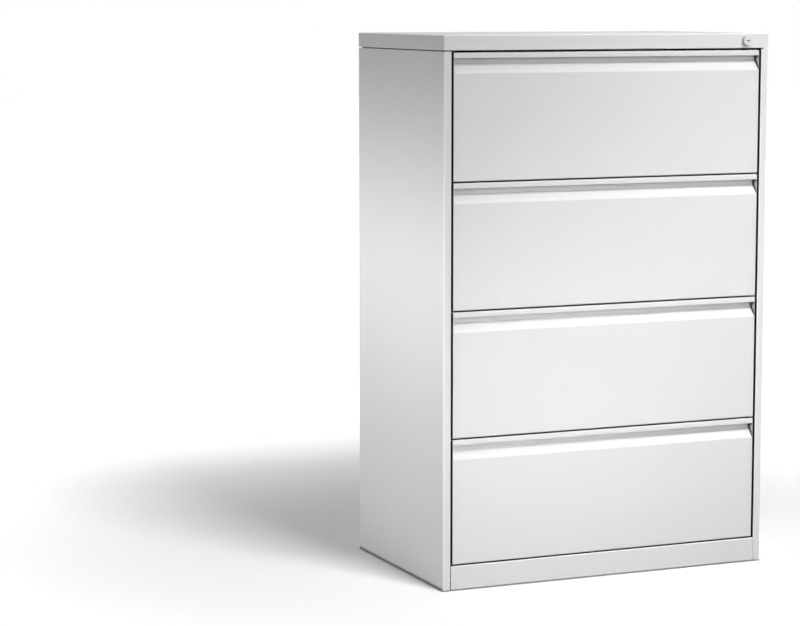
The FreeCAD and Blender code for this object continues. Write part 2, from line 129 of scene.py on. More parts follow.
def make_fold_edges():
    """Where two faces meet: a mask that breaks up along the edge, and the rounded normal of a
    coated edge."""
    tree, given, result = start_group(
        "fold_edges", {"Radius": 0.0012, "Gain": 3.0}, {"Edge": "Float", "Normal": "Vector"}
    )
    rounded = put(tree, "Bevel", {"Radius": given["Radius"]}, samples=4).outputs["Normal"]
    flat = put(tree, "NewGeometry").outputs["True Normal"]
    along = put(tree, "VectorMath", {0: rounded, 1: flat}, operation="DOT_PRODUCT").outputs["Value"]
    turned = put(tree, "Math", {0: 1.0, 1: along}, operation="SUBTRACT").outputs[0]
    mask = put(
        tree, "Math", {0: turned, 1: given["Gain"]}, operation="MULTIPLY", use_clamp=True
    ).outputs[0]
    place = put(tree, "TexCoord").outputs["Object"]
    patches = put(
        tree, "TexNoise", {"Vector": place, "Scale": 55.0, "Detail": 3.0, "Roughness": 0.7}
    ).outputs["Fac"]
    kept = put(
        tree, "MapRange", {"Value": patches, "From Min": 0.2, "From Max": 0.5, "To Min": 0.4}
    ).outputs["Result"]
    broken = put(tree, "Math", {0: mask, 1: kept}, operation="MULTIPLY").outputs[0]
    tree.links.new(broken, result["Edge"])
    tree.links.new(rounded, result["Normal"])
    return tree


def make_settled_dust():
    """A thin film on faces that look up, thicker in patches."""
    tree, given, result = start_group("settled_dust", {"Amount": 0.3}, {"Dust": "Float"})
    up = put(tree, "SeparateXYZ", {0: put(tree, "NewGeometry").outputs["True Normal"]}).outputs["Z"]
    level = put(
        tree, "MapRange", {"Value": up, "From Min": 0.6, "From Max": 0.98}
    ).outputs["Result"]
    place = put(tree, "TexCoord").outputs["Object"]
    patches = put(
        tree, "TexNoise", {"Vector": place, "Scale": 14.0, "Detail": 5.0, "Roughness": 0.65}
    ).outputs["Fac"]
    film = put(
        tree, "MapRange", {"Value": patches, "From Min": 0.3, "From Max": 0.75}
    ).outputs["Result"]
    lying = put(tree, "Math", {0: level, 1: film}, operation="MULTIPLY").outputs[0]
    dust = put(tree, "Math", {0: lying, 1: given["Amount"]}, operation="MULTIPLY").outputs[0]
    tree.links.new(dust, result["Dust"])
    return tree


def make_painted_gap_shade():
    """Painted shade in the slits between folded sheets: where ambient occlusion finds the space
    shut in, the colour is turned dark, as if no light got there.
    Faces that look forward have limits and a share of their own, so that only the inmost corner of
    a recess is painted dark there."""
    tree, given, result = start_group(
        "painted_gap_shade",
        {
            "Reach": 0.012,
            "Shut": 0.70,
            "Clear": 0.94,
            "Front Shut": 0.50,
            "Front Clear": 0.62,
            "Front": 0.6,
        },
        {"Unshaded": "Float"},
    )
    around = put(tree, "AmbientOcclusion", {"Distance": given["Reach"]}, samples=8).outputs["AO"]
    facing = put(tree, "SeparateXYZ", {0: put(tree, "TexCoord").outputs["Normal"]})
    front = put(tree, "Math", {0: facing.outputs["Y"], 1: -0.3}, operation="LESS_THAN").outputs[0]
    limits = {
        end: put(
            tree,
            "MapRange",
            {"Value": front, "To Min": given[end], "To Max": given["Front " + end]},
        ).outputs["Result"]
        for end in ("Shut", "Clear")
    }
    opened = put(
        tree, "MapRange", {"Value": around, "From Min": limits["Shut"], "From Max": limits["Clear"]}
    )
    closed = put(
        tree, "Math", {0: 1.0, 1: opened.outputs["Result"]}, operation="SUBTRACT"
    ).outputs[0]
    share = put(
        tree, "MapRange", {"Value": front, "To Min": 1.0, "To Max": given["Front"]}
    ).outputs["Result"]
    shaded = put(tree, "Math", {0: closed, 1: share}, operation="MULTIPLY").outputs[0]
    tree.links.new(
        put(tree, "Math", {0: 1.0, 1: shaded}, operation="SUBTRACT").outputs[0], result["Unshaded"]
    )
    return tree


def make_painted_bend_highlight():
    """Painted highlight on bends, told from the flats by their slanted normals: the colour is made
    paler there.
    Bends that lie level get a share."""
    tree, given, result = start_group(
        "painted_bend_highlight", {"Amount": 1.0, "Level": 1.0}, {"Bend Highlight": "Float"}
    )
    facing = put(tree, "SeparateXYZ", {0: put(tree, "TexCoord").outputs["Normal"]}).outputs
    sizes = [
        put(tree, "Math", {0: facing[axis]}, operation="ABSOLUTE").outputs[0] for axis in "XYZ"
    ]
    widest = put(tree, "Math", {0: sizes[0], 1: sizes[1]}, operation="MAXIMUM").outputs[0]
    widest = put(tree, "Math", {0: widest, 1: sizes[2]}, operation="MAXIMUM").outputs[0]
    bend_highlight = put(
        tree, "MapRange", {"Value": widest, "From Min": 0.985, "From Max": 0.90}
    ).outputs["Result"]
    sideways = put(
        tree, "MapRange", {"Value": sizes[0], "From Max": 0.05, "To Min": given["Level"]}
    ).outputs["Result"]
    highlight_share = put(tree, "Math", {0: bend_highlight, 1: sideways}, operation="MULTIPLY").outputs[0]
    tree.links.new(
        put(tree, "Math", {0: highlight_share, 1: given["Amount"]}, operation="MULTIPLY").outputs[0],
        result["Bend Highlight"],
    )
    return tree


coat_grain = make_coat_grain()
fold_edges = make_fold_edges()
settled_dust = make_settled_dust()
painted_gap_shade = make_painted_gap_shade()
painted_bend_highlight = make_painted_bend_highlight()


def powder_coat(
    name,
    colour,
    roughness,
    tone=0.05,
    dust=0.25,
    highlight_amount=0.9,
    radius=0.0026,
    gap_shade_limits=(0.70, 0.94, 0.6),
    level=1.0,
):
    material, tree, shader = start_material(name)
    coat = use_group(tree, coat_grain, {"Color": colour, "Tone": tone, "Roughness": roughness})
    fold = use_group(tree, fold_edges, {"Radius": radius})
    lying = use_group(tree, settled_dust, {"Amount": dust})
    # Painted highlight: bends and broken patches along sharp edges are made paler, as if they
    # caught the light.
    painted_highlight_colour = tuple(min(1.0, part * 1.32) for part in colour[:3]) + (1,)
    bend_highlight = use_group(tree, painted_bend_highlight, {"Amount": highlight_amount, "Level": level})
    edge_highlight = put(tree, "Math", {0: fold["Edge"], 1: highlight_amount}, operation="MULTIPLY").outputs[0]
    share = put(tree, "Math", {0: bend_highlight["Bend Highlight"], 1: edge_highlight}, operation="MAXIMUM").outputs[0]
    pale_edged = put(tree, "Mix", {"Factor": share, 6: coat["Color"], 7: painted_highlight_colour}, data_type="RGBA")
    grey = (0.62, 0.60, 0.57, 1)
    dusty = put(
        tree, "Mix", {"Factor": lying["Dust"], 6: pale_edged.outputs[2], 7: grey}, data_type="RGBA"
    )
    # Painted shade: where the slits between sheets are shut in, the colour goes nearly black.
    gap_shade = use_group(
        tree, painted_gap_shade, {"Reach": 0.012, "Shut": gap_shade_limits[0], "Clear": gap_shade_limits[1], "Front": gap_shade_limits[2]}
    )
    painted_shade = (0.012, 0.012, 0.012, 1)
    gap_shaded = put(
        tree, "Mix", {"Factor": gap_shade["Unshaded"], 6: painted_shade, 7: dusty.outputs[2]}, data_type="RGBA"
    )
    tree.links.new(gap_shaded.outputs[2], shader.inputs["Base Color"])
    dull = put(
        tree, "Math", {0: lying["Dust"], 1: 0.35, 2: coat["Roughness"]}, operation="MULTIPLY_ADD"
    ).outputs[0]
    tree.links.new(dull, shader.inputs["Roughness"])
    bump = put(
        tree,
        "Bump",
        {"Height": coat["Peel"], "Normal": fold["Normal"], "Strength": 0.05, "Distance": 0.0004},
    )
    tree.links.new(bump.outputs["Normal"], shader.inputs["Normal"])
    shader.inputs["Metallic"].default_value = 0.0
    shader.inputs["IOR"].default_value = 1.5
    shader.inputs["Specular IOR Level"].default_value = 0.5
    return material


def dress(names, material):
    for name in names:
        slots = nodes[name].data.materials
        slots.clear()
        slots.append(material)


grey_coat = powder_coat("light_grey_powder_coat", (0.745, 0.747, 0.742, 1), 0.40)
dress(["base_pan"], grey_coat)


# Side panels, back panel, plinth and top cover. Folded sheets of the same steel,
# welded and riveted to each other before the coat is baked on.
dress(
    ["left_side_panel", "right_side_panel", "back_panel", "front_plinth", "top_cover"],
    grey_coat,
)


# Uprights. Four hat sections welded inside the side panels; the slides hang on them.
# They are coated with the body.
dress(
    ["upright_front_right", "upright_front_left", "upright_rear_right", "upright_rear_left"],
    grey_coat,
)


# Foot brackets, lock channel and the moving lock parts. Pressed strip, zinc plated,
# screwed or welded into the body.
def make_zinc_film():
    """Plated strip: long rolling marks, cloudy patches of the passivated film, and fine
    scratches."""
    tree, given, result = start_group(
        "zinc_film",
        {"Color": (0.6, 0.61, 0.62, 1), "Roughness": 0.34, "Clouds": 0.25},
        {"Color": "Color", "Roughness": "Float", "Marks": "Float"},
    )
    place = put(tree, "TexCoord").outputs["Object"]
    rolled = put(tree, "Mapping", {"Vector": place, "Scale": (1.0, 0.02, 1.0)}).outputs["Vector"]
    marks = put(
        tree, "TexNoise", {"Vector": rolled, "Scale": 500.0, "Detail": 3.0, "Roughness": 0.6}
    ).outputs["Fac"]
    clouds = put(
        tree, "TexNoise", {"Vector": place, "Scale": 26.0, "Detail": 5.0, "Roughness": 0.6}
    ).outputs["Fac"]
    patchy = put(
        tree,
        "MapRange",
        {"Value": clouds, "From Min": 0.3, "From Max": 0.7, "To Min": -0.5, "To Max": 0.5},
    )
    tone = put(
        tree,
        "Math",
        {0: patchy.outputs["Result"], 1: given["Clouds"], 2: 1.0},
        operation="MULTIPLY_ADD",
    ).outputs[0]
    shaded = put(
        tree, "VectorMath", {0: given["Color"], "Scale": tone}, operation="SCALE"
    ).outputs[0]
    tree.links.new(shaded, result["Color"])
    streak = put(tree, "Math", {0: marks, 1: 0.5}, operation="SUBTRACT").outputs[0]
    fine = put(
        tree, "Math", {0: streak, 1: 0.12, 2: given["Roughness"]}, operation="MULTIPLY_ADD"
    ).outputs[0]
    rough = put(
        tree,
        "Math",
        {0: patchy.outputs["Result"], 1: 0.10, 2: fine},
        operation="MULTIPLY_ADD",
        use_clamp=True,
    ).outputs[0]
    tree.links.new(rough, result["Roughness"])
    tree.links.new(marks, result["Marks"])
    return tree


zinc_film = make_zinc_film()


def zinc_plate(name, colour, roughness, radius=0.0008):
    material, tree, shader = start_material(name)
    film = use_group(tree, zinc_film, {"Color": colour, "Roughness": roughness})
    fold = use_group(tree, fold_edges, {"Radius": radius})
    bright = tuple(min(1.0, part * 1.25) for part in colour[:3]) + (1,)
    share = put(tree, "Math", {0: fold["Edge"], 1: 0.6}, operation="MULTIPLY").outputs[0]
    pale_edged = put(tree, "Mix", {"Factor": share, 6: film["Color"], 7: bright}, data_type="RGBA")
    tree.links.new(pale_edged.outputs[2], shader.inputs["Base Color"])
    tree.links.new(film["Roughness"], shader.inputs["Roughness"])
    bump = put(
        tree,
        "Bump",
        {"Height": film["Marks"], "Normal": fold["Normal"], "Strength": 0.02, "Distance": 0.0003},
    )
    tree.links.new(bump.outputs["Normal"], shader.inputs["Normal"])
    shader.inputs["Metallic"].default_value = 1.0
    return material


zinc_steel = zinc_plate("zinc_plated_strip", (0.48, 0.485, 0.49, 1), 0.38)
dress(["foot_brackets", "cap_front_rail", "lock_bar", "lock_cam"], zinc_steel)


# Levelling feet and bar guides. Injection moulded: the feet in black polyamide on
# a threaded stud, the guides in pale acetal clipped round the lock bar.
def make_mould_grain():
    """Moulded plastic: an even eroded grain and a slow drift in gloss where the melt cooled."""
    tree, given, result = start_group(
        "mould_grain",
        {"Color": (0.1, 0.1, 0.1, 1), "Roughness": 0.5},
        {"Color": "Color", "Roughness": "Float", "Grain": "Float"},
    )
    place = put(tree, "TexCoord").outputs["Object"]
    grain = put(tree, "TexNoise", {"Vector": place, "Scale": 2200.0, "Detail": 2.0}).outputs["Fac"]
    flow = put(tree, "TexNoise", {"Vector": place, "Scale": 60.0, "Detail": 3.0}).outputs["Fac"]
    tone = put(tree, "MapRange", {"Value": flow, "To Min": 0.9, "To Max": 1.1}).outputs["Result"]
    shaded = put(
        tree, "VectorMath", {0: given["Color"], "Scale": tone}, operation="SCALE"
    ).outputs[0]
    tree.links.new(shaded, result["Color"])
    centred = put(tree, "Math", {0: flow, 1: 0.5}, operation="SUBTRACT").outputs[0]
    rough = put(
        tree,
        "Math",
        {0: centred, 1: 0.2, 2: given["Roughness"]},
        operation="MULTIPLY_ADD",
        use_clamp=True,
    )
    tree.links.new(rough.outputs[0], result["Roughness"])
    tree.links.new(grain, result["Grain"])
    return tree


mould_grain = make_mould_grain()


def moulded(name, colour, roughness, radius=0.0006):
    material, tree, shader = start_material(name)
    plastic = use_group(tree, mould_grain, {"Color": colour, "Roughness": roughness})
    fold = use_group(tree, fold_edges, {"Radius": radius})
    scuffed = tuple(part * 0.85 + 0.12 for part in colour[:3]) + (1,)
    share = put(tree, "Math", {0: fold["Edge"], 1: 0.3}, operation="MULTIPLY").outputs[0]
    pale_edged = put(tree, "Mix", {"Factor": share, 6: plastic["Color"], 7: scuffed}, data_type="RGBA")
    tree.links.new(pale_edged.outputs[2], shader.inputs["Base Color"])
    tree.links.new(plastic["Roughness"], shader.inputs["Roughness"])
    bump = put(
        tree,
        "Bump",
        {
            "Height": plastic["Grain"],
            "Normal": fold["Normal"],
            "Strength": 0.15,
            "Distance": 0.0002,
        },
    )
    tree.links.new(bump.outputs["Normal"], shader.inputs["Normal"])
    return material


foot_plastic = moulded("black_polyamide", (0.022, 0.022, 0.023, 1), 0.5)
guide_plastic = moulded("pale_acetal", (0.72, 0.70, 0.65, 1), 0.38)
dress(["levelling_feet"], foot_plastic)
dress(["lock_bar_guides"], guide_plastic)


# Foot studs. A rolled M10 thread shows between each pad and its bracket, above a hexagon
# moulded on the pad for the spanner. The stud is plated steel.
def begin(name, add, **given):
    bpy.ops.object.select_all(action="DESELECT")
    add(**given)
    piece = bpy.context.object
    piece.name = name
    bpy.ops.object.transform_apply(location=True, rotation=True, scale=True)
    return piece


def pick_faces(piece, test):
    bpy.ops.object.mode_set(mode="EDIT")
    bpy.ops.mesh.select_mode(type="FACE")
    bpy.ops.mesh.select_all(action="DESELECT")
    bpy.ops.object.mode_set(mode="OBJECT")
    for face in piece.data.polygons:
        face.select = test(face.center, face.normal)
    bpy.ops.object.mode_set(mode="EDIT")


def settle(piece, kind, **values):
    bpy.ops.object.mode_set(mode="OBJECT")
    bpy.context.view_layer.objects.active = piece
    change = piece.modifiers.new("change", kind)
    for key, value in values.items():
        setattr(change, key, value)
    bpy.ops.object.modifier_apply(modifier="change")


def break_edges(piece, least_turn):
    settle(
        piece,
        "BEVEL",
        width=0.0003,
        segments=2,
        limit_method="ANGLE",
        angle_limit=math.radians(least_turn),
    )


def in_row(piece, count, step):
    settle(
        piece,
        "ARRAY",
        count=count,
        use_relative_offset=False,
        use_constant_offset=True,
        constant_offset_displace=step,
    )


def coat_with(piece, material, crease=35):
    bpy.ops.object.mode_set(mode="OBJECT")
    bpy.ops.object.select_all(action="DESELECT")
    piece.select_set(True)
    bpy.context.view_layer.objects.active = piece
    bpy.ops.object.shade_smooth_by_angle(angle=math.radians(crease))
    piece.data.materials.clear()
    piece.data.materials.append(material)


thread_pitch, thread_depth = 0.0015, 0.00075
stud_radius, stud_base = 0.0050, 0.0155
pad_radius = 0.016
low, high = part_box("levelling_feet")
foot_x, foot_y = high.x - pad_radius, (low.y + pad_radius, high.y - pad_radius)
stud = begin(
    "foot_threads",
    bpy.ops.mesh.primitive_circle_add,
    vertices=3,
    radius=thread_depth,
    location=(stud_radius, 0, stud_base),
    rotation=(math.radians(90), math.radians(-30), 0),
)
settle(
    stud,
    "SCREW",
    screw_offset=thread_pitch,
    iterations=5,
    steps=20,
    render_steps=20,
    use_merge_vertices=True,
)
bpy.ops.object.mode_set(mode="EDIT")
bpy.ops.mesh.select_all(action="SELECT")
bpy.ops.mesh.remove_doubles(threshold=0.00001)
bpy.ops.mesh.fill_holes(sides=3)
bpy.ops.mesh.normals_make_consistent(inside=False)
bpy.ops.transform.translate(value=(foot_x, foot_y[0], 0))
in_row(stud, 2, (-2 * foot_x, 0, 0))
in_row(stud, 2, (0, foot_y[1] - foot_y[0], 0))
coat_with(stud, zinc_steel)
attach(stud, "carcass")

hex_radius, hex_height, hex_middle = 0.0098, 0.005, 0.0122
crown_width, crown_rise = 0.0012, 0.0006
rim_width, recess_depth = 0.0022, 0.001
spanner_hex = begin(
    "foot_hexagons",
    bpy.ops.mesh.primitive_cylinder_add,
    vertices=6,
    radius=hex_radius,
    depth=hex_height,
    location=(foot_x, foot_y[0], hex_middle),
)
pick_faces(spanner_hex, lambda centre, normal: normal.z > 0.9)
bpy.ops.mesh.inset(thickness=crown_width)
bpy.ops.transform.translate(value=(0, 0, crown_rise))
bpy.ops.mesh.inset(thickness=rim_width)
bpy.ops.mesh.extrude_region_move(TRANSFORM_OT_translate={"value": (0, 0, -recess_depth)})
break_edges(spanner_hex, 30)
in_row(spanner_hex, 2, (-2 * foot_x, 0, 0))
in_row(spanner_hex, 2, (0, foot_y[1] - foot_y[0], 0))
coat_with(spanner_hex, foot_plastic)
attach(spanner_hex, "carcass")


# Back rivets. Blind rivets with a domed head and a drawn stem hold the back panel in the
# rear returns of the side panels, one column down each side.
def blind_rivet(name, radius, height, centre, turn):
    """A domed head with the broken stem standing in its hole. The steps are shares of its size."""
    rivet = begin(
        name,
        bpy.ops.mesh.primitive_cylinder_add,
        vertices=16,
        radius=radius,
        depth=height,
        location=(0, 0, 0),
    )
    pick_faces(rivet, lambda at, normal: normal.z > 0.9)
    for narrower, higher in ((0.28, 0.55), (0.3, 0.12)):
        bpy.ops.mesh.inset(thickness=radius * narrower)
        bpy.ops.transform.translate(value=(0, 0, height * higher))
    hole, gap, stem = 0.5, 0.06, 0.3
    bpy.ops.mesh.extrude_region_move(TRANSFORM_OT_translate={"value": (0, 0, -height * hole)})
    bpy.ops.mesh.inset(thickness=radius * gap)
    bpy.ops.mesh.extrude_region_move(TRANSFORM_OT_translate={"value": (0, 0, height * stem)})
    bpy.ops.object.mode_set(mode="OBJECT")
    rivet.data.transform(Matrix.Translation(centre) @ turn.to_matrix().to_4x4())
    return rivet


back_pitch, first_rivet, rear_return = 0.158, 0.035, 0.020
head_radius, head_height, head_seat = 0.0032, 0.0008, 0.0003
low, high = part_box("back_panel")
panel_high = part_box("right_side_panel")[1]
rivet_x = (high.x + panel_high.x - rear_return) / 2
column = blind_rivet(
    "back_rivets",
    head_radius,
    head_height,
    (-rivet_x, panel_high.y + head_seat, low.z + first_rivet),
    Euler((math.radians(-90), 0, 0)),
)
in_row(column, 9, (0, 0, back_pitch))
in_row(column, 2, (2 * rivet_x, 0, 0))
coat_with(column, zinc_steel)
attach(column, "carcass")


# Slides. Three rails of cold formed strip a side, bright zinc plated, with ball cages
# of blue-grey plastic between them.
slide_zinc = zinc_plate("slide_zinc", (0.50, 0.505, 0.51, 1), 0.36, radius=0.0006)
cage_plastic = moulded("cage_polyamide", (0.05, 0.055, 0.06, 1), 0.45)
for number in (1, 2, 3, 4):
    dress([f"outer_rails_{number}", f"middle_rails_{number}", f"inner_rails_{number}"], slide_zinc)
    dress([f"outer_cages_{number}", f"inner_cages_{number}"], cage_plastic)


# Slide balls. Hardened steel balls of 4 mm, twelve in each strip of a cage, standing a
# little out of the plastic on the side that shows.
def polished_steel(name, colour, roughness):
    material, tree, shader = start_material(name)
    film = use_group(tree, zinc_film, {"Color": colour, "Roughness": roughness, "Clouds": 0.06})
    tree.links.new(film["Color"], shader.inputs["Base Color"])
    tree.links.new(film["Roughness"], shader.inputs["Roughness"])
    shader.inputs["Metallic"].default_value = 1.0
    return material


def copy_of(piece, name, step):
    bpy.ops.object.select_all(action="DESELECT")
    piece.select_set(True)
    bpy.context.view_layer.objects.active = piece
    bpy.ops.object.duplicate()
    copy = bpy.context.object
    copy.name = name
    copy.data.transform(Matrix.Translation(step))
    return copy


ball_steel = polished_steel("ball_steel", (0.72, 0.72, 0.73, 1), 0.12)
ball_pitch, ball_radius, ball_x = 0.020, 0.002, 0.4204
first_ball, cage_edge = 0.015, 0.0015
for stage, body in (("outer", "slide_outer_cage"), ("inner", "slide_inner_cage")):
    low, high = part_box(f"{stage}_cages_1")
    level = (low.z + high.z) / 2
    lift = (high.z - low.z) / 2 - cage_edge
    balls = begin(
        f"{stage}_cage_balls_1",
        bpy.ops.mesh.primitive_uv_sphere_add,
        segments=10,
        ring_count=6,
        radius=ball_radius,
        location=(ball_x, low.y + first_ball, level - lift),
    )
    in_row(balls, 12, (0, ball_pitch, 0))
    in_row(balls, 2, (0, 0, 2 * lift))
    in_row(balls, 2, (-2 * ball_x, 0, 0))
    coat_with(balls, ball_steel, crease=60)
    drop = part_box(f"{stage}_cages_1")[0].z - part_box(f"{stage}_cages_2")[0].z
    rows = [balls] + [
        copy_of(balls, f"{stage}_cage_balls_{n}", (0, 0, -drop * (n - 1))) for n in (2, 3, 4)
    ]
    for number, row in zip((1, 2, 3, 4), rows):
        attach(row, f"{body}_{number}")


# Rail noses. A moulded clip on the front end of each middle rail keeps the balls in and
# takes the knock when the drawer shuts.
def both_sides(piece):
    settle(piece, "MIRROR", use_axis=(True, False, False), use_mirror_merge=False)
    bpy.ops.object.mode_set(mode="EDIT")
    bpy.ops.mesh.select_all(action="SELECT")
    bpy.ops.mesh.normals_make_consistent(inside=False)
    bpy.ops.object.mode_set(mode="OBJECT")


low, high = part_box("middle_rails_1")
cage_low, cage_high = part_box("inner_cages_1")
room, nose_reach, arm_reach = 0.0002, 0.0025, 0.0058
arm = cage_low.z - low.z - room
strip = high.x - cage_high.x - room
nose = begin(
    "rail_noses_1",
    bpy.ops.mesh.primitive_cube_add,
    size=1,
    location=(high.x - strip / 2, low.y - nose_reach / 2, (low.z + high.z) / 2),
    scale=(strip, nose_reach, high.z - low.z),
)
for cut in (low.z + arm, high.z - arm):
    bpy.ops.object.mode_set(mode="EDIT")
    bpy.ops.mesh.select_all(action="SELECT")
    bpy.ops.mesh.bisect(plane_co=(0, 0, cut), plane_no=(0, 0, 1))
pick_faces(nose, lambda at, normal: normal.x < -0.9 and (at.z < low.z + arm or at.z > high.z - arm))
bpy.ops.mesh.extrude_region_move(TRANSFORM_OT_translate={"value": (-arm_reach, 0, 0)})
break_edges(nose, 40)
both_sides(nose)
coat_with(nose, cage_plastic)
drop = low.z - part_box("middle_rails_2")[0].z
noses = [nose] + [copy_of(nose, f"rail_noses_{n}", (0, 0, -drop * (n - 1))) for n in (2, 3, 4)]
for number, clip in zip((1, 2, 3, 4), noses):
    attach(clip, f"slide_middle_{number}")


# Drawers. The front is one folded sheet in the body's coat. Liner, pan and centre rail
# are thinner sheets in a coat of their own, and the catch is plated strip.
# The fronts' level bends, such as the grip creases, get a quarter of the painted bend highlight.
front_coat = powder_coat("front_powder_coat", (0.745, 0.747, 0.742, 1), 0.40, level=0.25)
# The liner, pan and centre rail get painted shade only in their deepest slits, and none on faces
# that look forward.
drawer_coat = powder_coat(
    "drawer_powder_coat", (0.70, 0.705, 0.70, 1), 0.46, tone=0.06, gap_shade_limits=(0.30, 0.50, 0.0)
)
for number in (1, 2, 3, 4):
    dress([f"drawer_front_{number}"], front_coat)
    dress([f"drawer_liner_{number}", f"drawer_pan_{number}", f"centre_rail_{number}"], drawer_coat)
    dress([f"drawer_catch_{number}"], zinc_steel)


# Slide rivets. Four blind rivets a side hold each inner rail to the pan; the heads lie in
# the rail's channel and the upset ends show on the inside of the pan.
low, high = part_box("inner_rails_1")
level = (low.z + high.z) / 2
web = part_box("drawer_pan_1")[1].x
first_rivet, rivet_pitch = 0.045, 0.130
head_radius, head_height, head_seat = 0.0034, 0.0010, 0.0016
tail_radius, tail_height, tail_seat = 0.0027, 0.0016, 0.0012
heads = blind_rivet(
    "rail_rivets_1",
    head_radius,
    head_height,
    (web + head_seat, low.y + first_rivet, level),
    Euler((0, math.radians(90), 0)),
)
tails = blind_rivet(
    "rivet_tails",
    tail_radius,
    tail_height,
    (web - tail_seat, low.y + first_rivet, level),
    Euler((0, math.radians(-90), 0)),
)
bpy.ops.object.select_all(action="DESELECT")
tails.select_set(True)
heads.select_set(True)
bpy.context.view_layer.objects.active = heads
bpy.ops.object.join()
in_row(heads, 4, (0, rivet_pitch, 0))
both_sides(heads)
coat_with(heads, zinc_steel)
drop = low.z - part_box("inner_rails_2")[0].z
for number in (1, 2, 3, 4):
    fixed = heads if number == 1 else copy_of(
        heads, f"rail_rivets_{number}", (0, 0, -drop * (number - 1))
    )
    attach(fixed, f"drawer_{number}")


# Front angles. A plated angle in each front corner of the pan, spot welded to the wall
# and riveted to the liner, carries the front.
low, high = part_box("drawer_pan_1")
pan_sheet = 0.0008
inside = high.x - pan_sheet
strip, leg = 0.001, 0.014
angle_bottom, angle_top = 0.015, 0.215
angle_low, angle_high = low.z + angle_bottom, low.z + angle_top
angle = begin(
    "front_angles_1",
    bpy.ops.mesh.primitive_cube_add,
    size=1,
    location=(inside - leg / 2, low.y + strip / 2, (angle_low + angle_high) / 2),
    scale=(leg, strip, angle_high - angle_low),
)
bpy.ops.object.mode_set(mode="EDIT")
bpy.ops.mesh.select_all(action="SELECT")
bpy.ops.mesh.bisect(plane_co=(inside - strip, 0, 0), plane_no=(1, 0, 0))
pick_faces(angle, lambda at, normal: normal.y > 0.9 and at.x > inside - strip)
bpy.ops.mesh.extrude_region_move(TRANSFORM_OT_translate={"value": (0, leg - strip, 0)})
break_edges(angle, 40)
pin_radius, pin_height, pin_seat = 0.0030, 0.0009, 0.0004
pin_inset, first_pin, pin_pitch = 0.0085, 0.02, 0.08
pins = blind_rivet(
    "angle_rivets",
    pin_radius,
    pin_height,
    (inside - pin_inset, low.y + strip + pin_seat, angle_low + first_pin),
    Euler((math.radians(-90), 0, 0)),
)
in_row(pins, 3, (0, 0, pin_pitch))
bpy.ops.object.select_all(action="DESELECT")
pins.select_set(True)
angle.select_set(True)
bpy.context.view_layer.objects.active = angle
bpy.ops.object.join()
both_sides(angle)
coat_with(angle, zinc_steel)
drop = low.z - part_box("drawer_pan_2")[0].z
for number in (1, 2, 3, 4):
    fixed = angle if number == 1 else copy_of(
        angle, f"front_angles_{number}", (0, 0, -drop * (number - 1))
    )
    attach(fixed, f"drawer_{number}")


# Pan beads. Shallow ribs pressed up in the floor of each pan, three to a lane, so that the
# sheet doesn't drum. They have the pan's coat.
bead_width, bead_height, bead_length = 0.012, 0.0016, 0.36
bead_start, bead_pitch = 0.110, 0.097
low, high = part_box("drawer_pan_1")
middle = Vector((bead_start, (low.y + high.y) / 2, low.z + pan_sheet))
bead = begin(
    "pan_beads_1",
    bpy.ops.mesh.primitive_cylinder_add,
    vertices=24,
    radius=bead_width / 2,
    depth=bead_length,
    location=middle,
    rotation=(math.radians(90), 0, 0),
)
for side in (-1, 1):
    pick_faces(bead, lambda at, normal: normal.y * side > 0.9)
    for reach, share in ((0.0028, 0.86), (0.0020, 0.72), (0.0009, 0.5)):
        bpy.ops.mesh.extrude_region_move(TRANSFORM_OT_translate={"value": (0, side * reach, 0)})
        bpy.ops.transform.resize(
            value=(share, 1, share),
            center_override=(middle.x, middle.y + side * bead_length / 2, middle.z),
        )
bpy.ops.mesh.select_all(action="SELECT")
bpy.ops.transform.resize(value=(1, 1, 2 * bead_height / bead_width), center_override=middle)
in_row(bead, 3, (bead_pitch, 0, 0))
both_sides(bead)
coat_with(bead, drawer_coat)
drop = low.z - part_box("drawer_pan_2")[0].z
for number in (1, 2, 3, 4):
    fixed = bead if number == 1 else copy_of(
        bead, f"pan_beads_{number}", (0, 0, -drop * (number - 1))
    )
    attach(fixed, f"drawer_{number}")


# Lock. A nickel plated zinc housing clamped in the front apron by a nut, with a plug
# that a flat key turns.
def nickel_plate(name, colour, turned, roughness):
    material, tree, shader = start_material(name)
    film = use_group(tree, zinc_film, {"Color": colour, "Roughness": roughness, "Clouds": 0.08})
    fold = use_group(tree, fold_edges, {"Radius": 0.0004})
    # Faces turned away from the front, the sides of housing, plug and nut, take the darker turned
    # colour: painted shade.
    facing = put(tree, "SeparateXYZ", {0: put(tree, "TexCoord").outputs["Normal"]}).outputs["Y"]
    flat = put(tree, "Math", {0: facing}, operation="ABSOLUTE").outputs[0]
    face = put(
        tree, "MapRange", {"Value": flat, "From Min": 0.3, "From Max": 0.8}
    ).outputs["Result"]
    shaded_nickel = put(
        tree, "Mix", {"Factor": face, 6: turned, 7: film["Color"]}, data_type="RGBA"
    ).outputs[2]
    # Painted shade: the narrow rings round the plug and in the keyway go nearly black.
    gap_shade = use_group(
        tree,
        painted_gap_shade,
        {
            "Reach": 0.004,
            "Shut": 0.15,
            "Clear": 0.35,
            "Front Shut": 0.15,
            "Front Clear": 0.35,
            "Front": 1.0,
        },
    )
    painted_shade = (0.02, 0.02, 0.02, 1)
    shaded_nickel = put(
        tree, "Mix", {"Factor": gap_shade["Unshaded"], 6: painted_shade, 7: shaded_nickel}, data_type="RGBA"
    ).outputs[2]
    tree.links.new(shaded_nickel, shader.inputs["Base Color"])
    tree.links.new(film["Roughness"], shader.inputs["Roughness"])
    tree.links.new(fold["Normal"], shader.inputs["Normal"])
    shader.inputs["Metallic"].default_value = 1.0
    return material


